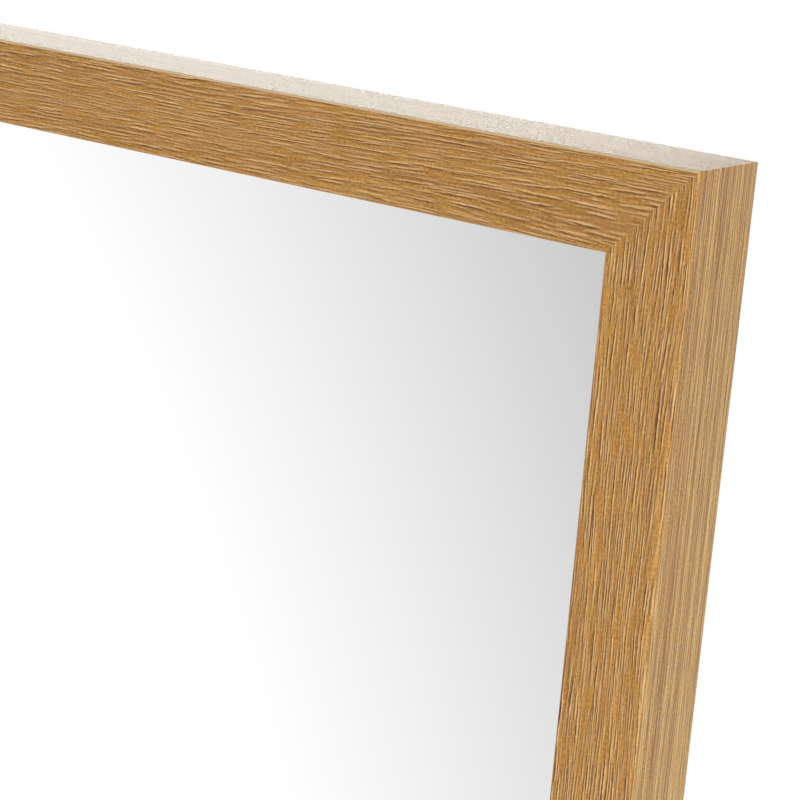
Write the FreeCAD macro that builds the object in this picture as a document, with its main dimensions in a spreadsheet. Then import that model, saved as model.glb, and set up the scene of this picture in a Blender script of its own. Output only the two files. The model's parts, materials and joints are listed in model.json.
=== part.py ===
import FreeCAD, Part
import math
import os
import Sketcher

# Leaning floor mirror: a tall pane of silvered glass in a mitred frame of
# fibreboard mouldings, wrapped in an oak-effect foil.
#
# Axes: X runs across the mirror, the glass looks towards -Y, +Z is up.
# The origin is on the floor, in the middle of the mirror's own box, and the
# mirror stands upright on its two rubber feet.
#
# All sizes are in millimetres.

SIZES = {
    # the whole mirror
    "overall_width": 600,
    "overall_height": 1600,
    # the moulding that the four sides of the frame are cut from
    "face_width": 34,
    "frame_depth": 40,
    "rebate_width": 10,
    "lip_depth": 12,
    "foil_thickness": 0.3,
    "front_edge_radius": 1.5,
    "sight_edge_radius": 1.2,
    "rear_edge_radius": 1.0,
    "foil_rear_return": 7,
    "foil_lip_return": 3,
    # V-shaped steel nails that close the mitres from behind
    "nail_leg": 8,
    "nail_sheet": 0.6,
    "nail_height": 12,
    "outer_nail_inset": 8.2,
    "inner_nail_inset": 15.4,
    # the pane and what it lies in
    "tape_thickness": 0.8,
    "tape_width": 5,
    "tape_wall_gap": 0.5,
    "glass_thickness": 4,
    "glass_edge_gap": 2,
    "glass_arris": 0.6,
    "film_thickness": 0.2,
    "board_thickness": 3,
    "board_corner_radius": 3,
    "block_length": 40,
    "block_inset": 130,
    "spacer_length": 50,
    "spacer_inset": 380,
    # flexible steel points that hold the backing board
    "point_width": 6,
    "point_sheet": 0.5,
    "point_reach": 8,
    "point_bite": 7,
    "point_tip": 3,
    "point_pitch": 150,
    "point_end_inset": 60,
    "slot_clearance": 0.05,
    # D-ring hangers on the back of the stiles
    "hanger_drop": 320,
    "strap_width": 14,
    "strap_length": 54,
    "strap_sheet": 1.2,
    "strap_end_radius": 5,
    "first_hole_drop": 25,
    "hole_pitch": 20,
    "wire_diameter": 2.5,
    "eye_clearance": 0.2,
    "ring_inside_width": 17,
    "ring_inside_height": 15,
    "ring_corner_radius": 2.4,
    "screw_shank_diameter": 3.5,
    "screw_shank_length": 15,
    "screw_tip_length": 4,
    "screw_head_diameter": 7,
    "screw_head_height": 2.2,
    "screw_rim_height": 1.1,
    "screw_crown_diameter": 4.4,
    "strap_hole_clearance": 0.25,
    "pilot_clearance": 0.1,
    # rubber feet and wall bumpers
    "foot_length": 60,
    "foot_thickness": 2.5,
    "foot_inset": 55,
    "foot_margin": 2.5,
    "foot_corner_radius": 5,
    "bumper_diameter": 12.7,
    "bumper_height": 5.8,
    "bumper_bevel": 1.6,
    "bumper_drop": 42,
}

doc = FreeCAD.newDocument("floor_mirror")
dims = doc.addObject("Spreadsheet::Sheet", "dims")
for row, (name, value) in enumerate(SIZES.items(), start=1):
    dims.set(f"A{row}", name)
    dims.set(f"B{row}", str(value))
    dims.setAlias(f"B{row}", name)
doc.recompute()


class Size:
    """A length that carries its number and the sheet formula behind it."""

    def __init__(self, number, formula):
        self.number = number
        self.formula = formula

    def __add__(self, other):
        other = as_size(other)
        return Size(self.number + other.number, f"({self.formula} + {other.formula})")

    def __sub__(self, other):
        other = as_size(other)
        return Size(self.number - other.number, f"({self.formula} - {other.formula})")

    def __mul__(self, factor):
        return Size(self.number * factor, f"({self.formula} * {factor})")

    def __truediv__(self, divisor):
        return Size(self.number / divisor, f"({self.formula} / {divisor})")

    def __neg__(self):
        return Size(-self.number, f"(0 - {self.formula})")


def as_size(value):
    """Let a plain number stand where a Size is expected."""
    if isinstance(value, Size):
        return value
    return Size(float(value), str(float(value)))


def size(name):
    """Read one driving dimension from the sheet."""
    return Size(float(dims.get(name)), f"dims.{name}")


def bind(thing, path, value):
    """Tie one property of a document object to the sheet."""
    thing.setExpression(path, as_size(value).formula)


def place(thing, label, x, y, z, turn=0.0):
    """Name a sub-part and put it in the mirror, turned about the Y axis."""
    thing.Label = label
    position = [as_size(value) for value in (x, y, z)]
    base = FreeCAD.Vector(*[value.number for value in position])
    thing.Placement = FreeCAD.Placement(base, FreeCAD.Rotation(FreeCAD.Vector(0, 1, 0), turn))
    for axis, value in zip("xyz", position):
        bind(thing, f"Placement.Base.{axis}", value)
    return thing


# ---------------------------------------------------------------- sketching

NOUGHT = as_size(0)


def new_body(name):
    return doc.addObject("PartDesign::Body", name)


def new_sketch(body, name, role, lift=NOUGHT):
    """Start a sketch on one of the body's own origin planes, lifted along its normal."""
    sketch = body.newObject("Sketcher::SketchObject", name)
    plane = [f for f in body.Origin.OriginFeatures if f.Role == role][0]
    sketch.AttachmentSupport = [(plane, "")]
    sketch.MapMode = "FlatFace"
    if lift is not NOUGHT:
        bind(sketch, "AttachmentOffset.Base.z", lift)
    return sketch


def fix_point(sketch, geometry, end, u, v):
    """Hold one end of a line or arc at (u, v) from the sketch's origin."""
    for direction, value in (("DistanceX", u), ("DistanceY", v)):
        constraint = Sketcher.Constraint(direction, -1, 1, geometry, end, value.number)
        index = sketch.addConstraint(constraint)
        bind(sketch, f"Constraints[{index}]", value)


def step_towards(here, there, distance):
    """Move from one corner towards the next along the axis that joins them."""
    shift = [other.number - own.number for own, other in zip(here, there)]
    axis = 0 if abs(shift[0]) > abs(shift[1]) else 1
    moved = list(here)
    moved[axis] = here[axis] + distance if shift[axis] > 0 else here[axis] - distance
    return moved


def outline_pieces(corners):
    """Turn corners (u, v, radius) into lines and quarter arcs that follow one another."""
    spots = [(as_size(u), as_size(v)) for u, v, radius in corners]
    radii = [as_size(radius) for u, v, radius in corners]
    pieces = []
    for index, here in enumerate(spots):
        following = (index + 1) % len(spots)
        end = here
        if radii[index].number > 0:
            start = step_towards(here, spots[index - 1], radii[index])
            end = step_towards(here, spots[following], radii[index])
            pieces.append((start, end, here, radii[index]))
        stop = spots[following]
        if radii[following].number > 0:
            stop = step_towards(stop, here, radii[following])
        if (vector(stop) - vector(end)).Length > 0.001:
            pieces.append((end, stop, None, None))
    return pieces


def vector(spot):
    return FreeCAD.Vector(spot[0].number, spot[1].number, 0)


def add_line(sketch, start, end):
    """Add a straight piece of an outline; its start is point 1 and its end point 2."""
    return sketch.addGeometry(Part.LineSegment(vector(start), vector(end))), (1, 2)


def add_arc(sketch, start, end, corner, radius):
    """Round one corner; an arc runs anticlockwise, so a right turn has its ends swapped."""
    turn = (vector(corner) - vector(start)).cross(vector(end) - vector(corner)).z
    centre = vector(start) + vector(end) - vector(corner)
    middle = centre + (vector(corner) - centre).normalize() * radius.number
    first, last = (start, end) if turn > 0 else (end, start)
    geometry = sketch.addGeometry(Part.Arc(vector(first), middle, vector(last)))
    index = sketch.addConstraint(Sketcher.Constraint("Radius", geometry, radius.number))
    bind(sketch, f"Constraints[{index}]", radius)
    return geometry, (1, 2) if turn > 0 else (2, 1)


def draw_outline(sketch, corners):
    """Draw a closed outline; each corner is (u, v, radius), and radius 0 leaves it sharp."""
    drawn = []
    for start, end, corner, radius in outline_pieces(corners):
        if corner is None:
            geometry, ends = add_line(sketch, start, end)
        else:
            geometry, ends = add_arc(sketch, start, end, corner, radius)
        drawn.append((geometry, ends, start))
    for index, (geometry, ends, start) in enumerate(drawn):
        previous, previous_ends, previous_start = drawn[index - 1]
        meeting = Sketcher.Constraint("Coincident", previous, previous_ends[1], geometry, ends[0])
        sketch.addConstraint(meeting)
        fix_point(sketch, geometry, ends[0], *start)


def draw_circle(sketch, u, v, radius):
    """Draw a circle of a bound radius about (u, v)."""
    centre = (as_size(u), as_size(v))
    circle = Part.Circle(vector(centre), FreeCAD.Vector(0, 0, 1), radius.number)
    geometry = sketch.addGeometry(circle)
    index = sketch.addConstraint(Sketcher.Constraint("Radius", geometry, radius.number))
    bind(sketch, f"Constraints[{index}]", radius)
    fix_point(sketch, geometry, 3, *centre)


def pad(body, name, sketch, length, side="One side", reversed_way=False):
    """Extrude a sketch by a bound length."""
    feature = body.newObject("PartDesign::Pad", name)
    feature.Profile = sketch
    feature.SideType = side
    feature.Reversed = reversed_way
    bind(feature, "Length", length)
    doc.recompute()
    return feature


def pocket(body, name, sketch, depth=None, reversed_way=False):
    """Cut a sketch to a bound depth, or right through when none is given."""
    before = body.Shape.Volume
    feature = body.newObject("PartDesign::Pocket", name)
    feature.Profile = sketch
    feature.Reversed = reversed_way
    if depth is None:
        feature.SideType = "Symmetric"
        feature.Type = "ThroughAll"
    else:
        bind(feature, "Length", depth)
    doc.recompute()
    if body.Shape.Volume >= before:
        raise ValueError(f"{body.Name}: {name} cuts nothing")
    return feature


def repeat(body, name, feature, sketch, span, count):
    """Repeat a feature along the sketch's own horizontal axis."""
    pattern = body.newObject("PartDesign::LinearPattern", name)
    pattern.Originals = [feature]
    pattern.Direction = (sketch, ["H_Axis"])
    pattern.Occurrences = count
    bind(pattern, "Length", span)
    body.Tip = pattern
    doc.recompute()
    return pattern


def revolve(body, name, sketch):
    """Spin a half outline round the sketch's vertical axis."""
    feature = body.newObject("PartDesign::Revolution", name)
    feature.Profile = sketch
    feature.ReferenceAxis = (sketch, ["V_Axis"])
    feature.Angle = 360
    doc.recompute()
    return feature


def make_box(name, label, width, depth, height, x, y, z):
    """Make a plain strip or sheet from its sizes and its lowest corner."""
    box = doc.addObject("Part::Box", name)
    bind(box, "Length", width)
    bind(box, "Width", depth)
    bind(box, "Height", height)
    return place(box, label, x, y, z)


def make_group(name, label, members):
    """Keep identical small pieces together in one sub-part, each still a solid of its own."""
    group = doc.addObject("Part::Compound", name)
    group.Links = members
    group.Label = label
    doc.recompute()
    return group


# ------------------------------------------------------- sizes worked out once

foil = size("foil_thickness")
face_width = size("face_width")
frame_depth = size("frame_depth")
land_depth = frame_depth - foil
overall_depth = land_depth + size("bumper_height")
front_y = -overall_depth / 2
land_y = front_y + land_depth
half_width = size("overall_width") / 2
frame_height = size("overall_height") - size("foot_thickness")
frame_middle_z = size("foot_thickness") + frame_height / 2
wall_inset = face_width - size("rebate_width")

glass_front = size("lip_depth") + size("tape_thickness")
film_front = glass_front + size("glass_thickness")
board_front = film_front + size("film_thickness")
board_back = board_front + size("board_thickness")
pane_inset = wall_inset + size("glass_edge_gap")
pane_width = size("overall_width") - pane_inset * 2
pane_height = frame_height - pane_inset * 2
pane_bottom_z = size("foot_thickness") + pane_inset

land_centre = (size("foil_rear_return") + wall_inset) / 2
hanger_x = half_width - land_centre
hanger_z = size("overall_height") - size("hanger_drop")
eye_radius = size("wire_diameter") / 2 + size("eye_clearance")
knuckle_radius = eye_radius + size("strap_sheet")
hanger_y = land_y + knuckle_radius
hole_drops = [size("first_hole_drop"), size("first_hole_drop") + size("hole_pitch")]


# ------------------------------------------------------------------ the frame
# Each side is drawn lying along X, with its outer edge on Z = 0, its sight edge
# below and its face on Y = 0. It is then turned into its place about Y: the top
# rail by 0, the right stile by 90, the bottom rail by 180 and the left by 270.

SIDES = [
    ("top_rail", 0, "overall_width"),
    ("right_stile", 90, "overall_height"),
    ("bottom_rail", 180, "overall_width"),
    ("left_stile", 270, "overall_height"),
]


def side_length(length_name):
    """The stiles stand on the feet, so they are a foot's thickness short of the whole."""
    if length_name == "overall_height":
        return frame_height
    return size(length_name)


def side_position(turn):
    """The middle of a side's outer front edge, in the mirror's axes."""
    positions = {
        0: (NOUGHT, front_y, size("overall_height")),
        90: (half_width, front_y, frame_middle_z),
        180: (NOUGHT, front_y, size("foot_thickness")),
        270: (-half_width, front_y, frame_middle_z),
    }
    return positions[turn]


def core_outline():
    """The moulding's section without its foil: a block with a rebate behind the lip."""
    sight = -(face_width - foil)
    return [
        (foil, -foil, size("front_edge_radius")),
        (land_depth, -foil, size("rear_edge_radius")),
        (land_depth, -wall_inset, NOUGHT),
        (size("lip_depth"), -wall_inset, NOUGHT),
        (size("lip_depth"), sight, NOUGHT),
        (foil, sight, size("sight_edge_radius")),
    ]


def foil_outline():
    """The foil's section: one ribbon from the back, over the face, to behind the lip."""
    lip_back = size("lip_depth") + foil
    rear_end = -size("foil_rear_return")
    lip_end = -(face_width - size("foil_lip_return"))
    return [
        (frame_depth, rear_end, NOUGHT),
        (frame_depth, NOUGHT, size("rear_edge_radius")),
        (NOUGHT, NOUGHT, size("front_edge_radius")),
        (NOUGHT, -face_width, size("sight_edge_radius")),
        (lip_back, -face_width, NOUGHT),
        (lip_back, lip_end, NOUGHT),
        (size("lip_depth"), lip_end, NOUGHT),
        (size("lip_depth"), -(face_width - foil), NOUGHT),
        (foil, -(face_width - foil), size("sight_edge_radius") - foil),
        (foil, -foil, size("front_edge_radius") - foil),
        (land_depth, -foil, size("rear_edge_radius") - foil),
        (land_depth, rear_end, NOUGHT),
    ]


def mitre_both_ends(body, length):
    """Cut both ends at 45 degrees, from the outer corner to the sight edge."""
    sketch = new_sketch(body, body.Name + "_mitre_lines", "XZ_Plane")
    clear = length / 2 + face_width
    inner = length / 2 - face_width * 2
    corners = [(clear, face_width), (clear, -face_width * 2), (inner, -face_width * 2)]
    for way in (1, -1):
        draw_outline(sketch, [(u * way, v, NOUGHT) for u, v in corners])
    pocket(body, body.Name + "_mitres", sketch)


def nail_outline(end, way, inset, grow):
    """One V nail at a mitre: its point on the joint, one leg along each member."""
    leg = size("nail_leg")
    sheet = size("nail_sheet")
    far = inset + leg + grow
    near = inset - grow
    inner = inset + sheet + grow
    corners = [
        (near, near), (far, near), (far, inner), (inner, inner), (inner, far), (near, far),
    ]
    return [((end - u) * way, -v, NOUGHT) for u, v in corners]


NAIL_INSETS = [size("outer_nail_inset"), size("inner_nail_inset")]


def cut_nail_slots(body, length):
    """Sink the slots that the corner nails stand in, from the back of the moulding."""
    sketch = new_sketch(body, body.Name + "_nail_marks", "XZ_Plane", -land_depth)
    for way in (1, -1):
        for inset in NAIL_INSETS:
            draw_outline(sketch, nail_outline(length / 2, way, inset, size("slot_clearance")))
    depth = size("nail_height") + size("slot_clearance")
    pocket(body, body.Name + "_nail_slots", sketch, depth, reversed_way=True)


def point_row(length):
    """Where the backing points of one side go: the first one's place, the span and the count."""
    span = length - (face_width + size("point_end_inset")) * 2
    count = max(2, round(span.number / size("point_pitch").number) + 1)
    return -span / 2, span, count


def point_outline(first, reach, grow):
    """A flat steel point, driven into the rebate wall and reaching over the board."""
    side = size("point_width") / 2 + grow
    shoulder = size("point_bite") - size("point_tip") - wall_inset
    tip = size("point_bite") - wall_inset + grow
    return [
        (first - side, -wall_inset - reach, NOUGHT),
        (first + side, -wall_inset - reach, NOUGHT),
        (first + side, shoulder, NOUGHT),
        (first, tip, NOUGHT),
        (first - side, shoulder, NOUGHT),
    ]


def point_slot(body, length):
    """Cut the row of thin slots that one side's backing points are driven into."""
    first, span, count = point_row(length)
    sketch = new_sketch(body, body.Name + "_slot_mark", "XZ_Plane", size("slot_clearance") - board_back)
    draw_outline(sketch, point_outline(first, size("slot_clearance"), size("slot_clearance")))
    depth = size("point_sheet") + size("slot_clearance") * 2
    slot = pocket(body, body.Name + "_slot", sketch, depth)
    repeat(body, body.Name + "_slots", slot, sketch, span, count)


def cut_pilot_holes(body, turn):
    """Drill for the hanger screws, on the back of a stile."""
    way = 1 if turn == 90 else -1
    sketch = new_sketch(body, body.Name + "_pilot_marks", "XZ_Plane", -land_depth)
    for drop in hole_drops:
        along = (frame_middle_z - hanger_z + drop) * way
        radius = size("screw_shank_diameter") / 2 + size("pilot_clearance")
        draw_circle(sketch, along, -land_centre, radius)
    depth = size("screw_shank_length") - size("strap_sheet") + size("pilot_clearance")
    pocket(body, body.Name + "_pilots", sketch, depth, reversed_way=True)


def make_side(label, turn, length_name):
    """One side of the frame, without its foil."""
    length = side_length(length_name)
    body = new_body(label + "_core")
    sketch = new_sketch(body, label + "_section", "YZ_Plane")
    draw_outline(sketch, core_outline())
    pad(body, label + "_moulding", sketch, length, side="Symmetric")
    mitre_both_ends(body, length)
    cut_nail_slots(body, length)
    if length_name == "overall_height":
        cut_pilot_holes(body, turn)
    point_slot(body, length)
    return place(body, label, *side_position(turn), turn)


def make_foil(label, turn, length_name):
    """The foil that wraps one side, mitred with it."""
    length = side_length(length_name)
    body = new_body(label + "_wrap")
    sketch = new_sketch(body, label + "_foil_section", "YZ_Plane")
    draw_outline(sketch, foil_outline())
    pad(body, label + "_foil_strip", sketch, length, side="Symmetric")
    mitre_both_ends(body, length)
    return place(body, label + "_foil", *side_position(turn), turn)


def make_corner_nails(turn):
    """The two V nails of one corner, at the right-hand end of the side turned this way."""
    corners = {
        0: (half_width, size("overall_height")),
        90: (half_width, size("foot_thickness")),
        180: (-half_width, size("foot_thickness")),
        270: (-half_width, size("overall_height")),
    }
    body = new_body(f"nails_{turn}")
    body.AllowCompound = True
    sketch = new_sketch(body, f"nail_shapes_{turn}", "XZ_Plane", -land_depth)
    for inset in NAIL_INSETS:
        draw_outline(sketch, nail_outline(NOUGHT, 1, inset, NOUGHT))
    pad(body, f"nail_pad_{turn}", sketch, size("nail_height"))
    x, z = corners[turn]
    return place(body, f"corner_nails_{turn}", x, front_y, z, turn)


def make_points(label, turn, length_name):
    """The row of backing points along one side."""
    first, span, count = point_row(side_length(length_name))
    body = new_body(label + "_points")
    body.AllowCompound = True
    sketch = new_sketch(body, label + "_point_shape", "XZ_Plane", -board_back)
    draw_outline(sketch, point_outline(first, size("point_reach"), NOUGHT))
    point = pad(body, label + "_point", sketch, size("point_sheet"), reversed_way=True)
    repeat(body, label + "_point_row", point, sketch, span, count)
    return place(body, label + "_backing_points", *side_position(turn), turn)


# ------------------------------------------------------- the pane and its back


def chamfer_flat_edges(body, name, base, amount):
    """Take the sharp edge off both faces of a pane."""
    flat = [
        f"Edge{number}"
        for number, edge in enumerate(base.Shape.Edges, start=1)
        if edge.BoundBox.YLength < amount.number
    ]
    feature = body.newObject("PartDesign::Chamfer", name)
    feature.Base = (base, flat)
    bind(feature, "Size", amount)
    doc.recompute()
    return feature


def pane_outline(radius):
    """The outline shared by everything that lies in the rebate."""
    side = pane_width / 2
    return [
        (-side, NOUGHT, radius), (side, NOUGHT, radius),
        (side, pane_height, radius), (-side, pane_height, radius),
    ]


def make_pane(label, front, thickness, radius=NOUGHT):
    """A sheet as large as the rebate allows, standing on the setting blocks."""
    body = new_body(label + "_sheet")
    sketch = new_sketch(body, label + "_outline", "XZ_Plane")
    draw_outline(sketch, pane_outline(radius))
    sheet = pad(body, label + "_pad", sketch, thickness, reversed_way=True)
    if label == "mirror_glass":
        chamfer_flat_edges(body, "glass_arris_cut", sheet, size("glass_arris"))
    return place(body, label, NOUGHT, front_y + front, pane_bottom_z)


def make_tapes():
    """Four strips of foam tape between the lip and the glass, butted at the corners."""
    width = size("tape_width")
    depth = size("tape_thickness")
    inset = wall_inset + size("tape_wall_gap")
    across = size("overall_width") - inset * 2
    upright = frame_height - (inset + width) * 2
    left = -across / 2
    right = across / 2 - width
    low = size("foot_thickness") + inset
    high = size("overall_height") - inset - width
    y = front_y + size("lip_depth")
    return [
        make_box("tape_above", "top_glazing_tape", across, depth, width, left, y, high),
        make_box("tape_below", "bottom_glazing_tape", across, depth, width, left, y, low),
        make_box("tape_left", "left_glazing_tape", width, depth, upright, left, y, low + width),
        make_box("tape_right", "right_glazing_tape", width, depth, upright, right, y, low + width),
    ]


def make_blocks():
    """Two rubber blocks that carry the pane and its back off the bottom rail."""
    length = size("block_length")
    gap = size("glass_edge_gap")
    depth = board_back - glass_front
    y = front_y + glass_front
    z = pane_bottom_z - gap
    left = -half_width + size("block_inset")
    right = half_width - size("block_inset") - length
    blocks = [
        make_box(f"block_{n}", f"setting_block_{n}", length, depth, gap, x, y, z)
        for n, x in enumerate((left, right))
    ]
    return make_group("blocks", "setting_blocks", blocks)


def make_spacers():
    """Cork pieces that centre the pane between the stiles."""
    length = size("spacer_length")
    gap = size("glass_edge_gap")
    y = front_y + glass_front
    low = size("spacer_inset")
    high = size("overall_height") - size("spacer_inset") - length
    left = -half_width + wall_inset
    right = half_width - pane_inset
    spots = [(left, low), (left, high), (right, low), (right, high)]
    spacers = [
        make_box(f"spacer_{n}", f"edge_spacer_{n}", gap, size("glass_thickness"), length, x, y, z)
        for n, (x, z) in enumerate(spots)
    ]
    return make_group("spacers", "edge_spacers", spacers)


# ----------------------------------------------------------------- the hangers
# A hanger is drawn about the middle of its eye: Y = 0 and Z = 0 lie on the axis
# that the D-ring swings on, and the strap lies flat against the stile behind it.


BOW_STEPS = 12
CORNER_STEPS = 3


def make_strap(label, way):
    """A steel strap curled into an eye, rounded at its foot and drilled twice."""
    half_strap = size("strap_width") / 2
    body = new_body(label + "_sheet")
    strip = new_sketch(body, label + "_strip", "YZ_Plane")
    draw_outline(strip, [
        (-knuckle_radius, NOUGHT, NOUGHT), (-eye_radius, NOUGHT, NOUGHT),
        (-eye_radius, -size("strap_length"), NOUGHT), (-knuckle_radius, -size("strap_length"), NOUGHT),
    ])
    flat = pad(body, label + "_flat", strip, size("strap_width"), side="Symmetric")
    corners = [
        f"Edge{number}"
        for number, edge in enumerate(flat.Shape.Edges, start=1)
        if edge.BoundBox.YLength > 0.5 * size("strap_sheet").number
        and edge.BoundBox.ZMax < -0.5 * size("strap_length").number
    ]
    rounding = body.newObject("PartDesign::Fillet", label + "_foot")
    rounding.Base = (flat, corners)
    bind(rounding, "Radius", size("strap_end_radius"))
    doc.recompute()
    eye = new_sketch(body, label + "_eye", "YZ_Plane")
    draw_circle(eye, NOUGHT, NOUGHT, knuckle_radius)
    draw_circle(eye, NOUGHT, NOUGHT, eye_radius)
    pad(body, label + "_knuckle", eye, size("strap_width"), side="Symmetric")
    mouth = new_sketch(body, label + "_mouth", "YZ_Plane")
    draw_outline(mouth, [
        (-eye_radius, NOUGHT, NOUGHT), (NOUGHT, NOUGHT, NOUGHT),
        (NOUGHT, -knuckle_radius * 2, NOUGHT), (-eye_radius, -knuckle_radius * 2, NOUGHT),
    ])
    pocket(body, label + "_curl_end", mouth)
    holes = new_sketch(body, label + "_holes", "XZ_Plane")
    for drop in hole_drops:
        radius = size("screw_shank_diameter") / 2 + size("strap_hole_clearance")
        draw_circle(holes, NOUGHT, -drop, radius)
    pocket(body, label + "_drilling", holes)
    return place(body, label, hanger_x * way, hanger_y, hanger_z)


def bend(u, v, radius, first_angle, last_angle, steps):
    """Points along a bend of the wire, about (u, v), with angles in degrees."""
    points = []
    for step in range(steps + 1):
        angle = math.radians(first_angle + (last_angle - first_angle) * step / steps)
        points.append((u + radius * math.cos(angle), v + radius * math.sin(angle), NOUGHT))
    return points


def make_ring(label, way):
    """A D-ring of round wire: its bar runs through the eye and its bow hangs down."""
    wire_radius = size("wire_diameter") / 2
    side = size("ring_inside_width") / 2 + wire_radius
    bow_middle = side - size("ring_inside_height") - size("wire_diameter")
    corner = size("ring_corner_radius")
    body = new_body(label + "_wire")
    spine = new_sketch(body, label + "_spine", "XZ_Plane")
    wire_line = bend(side - corner, -corner, corner, 0, 90, CORNER_STEPS)
    wire_line += bend(corner - side, -corner, corner, 90, 180, CORNER_STEPS)
    wire_line += bend(NOUGHT, bow_middle, side, 180, 360, BOW_STEPS)
    draw_outline(spine, wire_line)
    section = new_sketch(body, label + "_wire_section", "YZ_Plane")
    draw_circle(section, NOUGHT, NOUGHT, wire_radius)
    sweep = body.newObject("PartDesign::AdditivePipe", label + "_sweep")
    sweep.Profile = section
    sweep.Spine = spine
    sweep.Transition = "Right corner"
    doc.recompute()
    return place(body, label, hanger_x * way, hanger_y, hanger_z)


def make_screw(name, x, z):
    """A pan-head wood screw that lies along Y, with its head towards +Y."""
    head = size("screw_head_diameter") / 2
    shank = size("screw_shank_diameter") / 2
    length = size("screw_shank_length")
    body = new_body(name)
    half = new_sketch(body, name + "_half", "XY_Plane")
    draw_outline(half, [
        (NOUGHT, size("screw_head_height"), NOUGHT),
        (NOUGHT, -length, NOUGHT),
        (shank, -(length - size("screw_tip_length")), NOUGHT),
        (shank, NOUGHT, NOUGHT),
        (head, NOUGHT, NOUGHT),
        (head, size("screw_rim_height"), NOUGHT),
        (size("screw_crown_diameter") / 2, size("screw_head_height"), NOUGHT),
    ])
    revolve(body, name + "_turned", half)
    return place(body, name + "_screw", x, land_y + size("strap_sheet"), z)


def make_screws():
    """The four screws that hold the two hangers."""
    screws = []
    for way in (-1, 1):
        for drop in hole_drops:
            screws.append(make_screw(f"screw_{len(screws)}", hanger_x * way, hanger_z - drop))
    return make_group("screws", "hanger_screws", screws)


# ------------------------------------------------------- feet and wall bumpers


def make_foot(label, way):
    """A flat rubber foot under one end of the bottom rail."""
    half_length = size("foot_length") / 2
    half_depth = frame_depth / 2 - size("foot_margin")
    radius = size("foot_corner_radius")
    body = new_body(label + "_pad")
    sketch = new_sketch(body, label + "_outline", "XY_Plane")
    draw_outline(sketch, [
        (-half_length, -half_depth, radius), (half_length, -half_depth, radius),
        (half_length, half_depth, radius), (-half_length, half_depth, radius),
    ])
    pad(body, label + "_rubber", sketch, size("foot_thickness"))
    x = (half_width - size("foot_inset")) * way
    return place(body, label, x, front_y + frame_depth / 2, NOUGHT)


def make_bumper(name, x, z):
    """A round rubber bumper that keeps the frame off the wall."""
    radius = size("bumper_diameter") / 2
    height = size("bumper_height")
    bevel = size("bumper_bevel")
    body = new_body(name)
    half = new_sketch(body, name + "_half", "XY_Plane")
    draw_outline(half, [
        (NOUGHT, height, NOUGHT),
        (NOUGHT, NOUGHT, NOUGHT),
        (radius, NOUGHT, NOUGHT),
        (radius, height - bevel, NOUGHT),
        (radius - bevel, height, NOUGHT),
    ])
    revolve(body, name + "_turned", half)
    return place(body, name + "_bumper", x, land_y, z)


def make_bumpers():
    """Four bumpers on the backs of the stiles, near the corners."""
    low = size("foot_thickness") + size("bumper_drop")
    high = size("overall_height") - size("bumper_drop")
    bumpers = []
    for x in (-hanger_x, hanger_x):
        for z in (low, high):
            bumpers.append(make_bumper(f"bumper_{len(bumpers)}", x, z))
    return make_group("bumpers", "wall_bumpers", bumpers)


# ------------------------------------------------------------------- assembly

sub_parts = []
for side in SIDES:
    sub_parts.append(make_side(*side))
    sub_parts.append(make_foil(*side))

corner_nails = [make_corner_nails(turn) for label, turn, length_name in SIDES]
sub_parts.append(make_group("nails", "corner_v_nails", corner_nails))
backing_points = [make_points(*side) for side in SIDES]
sub_parts.append(make_group("points", "backing_points", backing_points))

sub_parts.append(make_pane("mirror_glass", glass_front, size("glass_thickness")))
sub_parts.append(make_pane("safety_film", film_front, size("film_thickness")))
board_sizes = (size("board_thickness"), size("board_corner_radius"))
sub_parts.append(make_pane("backing_board", board_front, *board_sizes))
sub_parts.extend(make_tapes())
sub_parts.append(make_blocks())
sub_parts.append(make_spacers())

for hand, way in (("left", -1), ("right", 1)):
    sub_parts.append(make_strap(hand + "_hanger_strap", way))
    sub_parts.append(make_ring(hand + "_hanger_ring", way))
    sub_parts.append(make_foot(hand + "_foot", way))
sub_parts.append(make_screws())
sub_parts.append(make_bumpers())
doc.recompute()


# --------------------------------------------------------------------- output

for thing in doc.Objects:
    if "Invalid" in thing.State or "Error" in thing.State:
        raise ValueError(f"{thing.Label} failed: {thing.State}")
for part in sub_parts:
    if part.Shape.isNull() or not part.Shape.isValid():
        raise ValueError(f"{part.Label} has no sound shape")

os.makedirs("parts", exist_ok=True)
for part in sub_parts:
    part.Shape.exportStep(f"parts/{part.Label}.step")
    box = part.Shape.BoundBox
    print(
        f"{part.Label}: {len(part.Shape.Solids)} solid(s), "
        f"{box.XLength:.1f} x {box.YLength:.1f} x {box.ZLength:.1f} mm"
    )
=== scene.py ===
# %% [markdown]
# # A leaning floor mirror in an oak-look frame
#
# The real mirror is a tall pane of silvered glass in four lengths of one moulding.
# Each length is fibreboard wrapped in an oak-look foil, and the four meet in mitres.
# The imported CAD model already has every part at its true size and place, so this
# lesson starts from it: parts whose shape is right only get a finish, and parts whose
# shape is too plain are modelled again over the same place.

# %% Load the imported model
import json
from math import pi, radians

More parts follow.
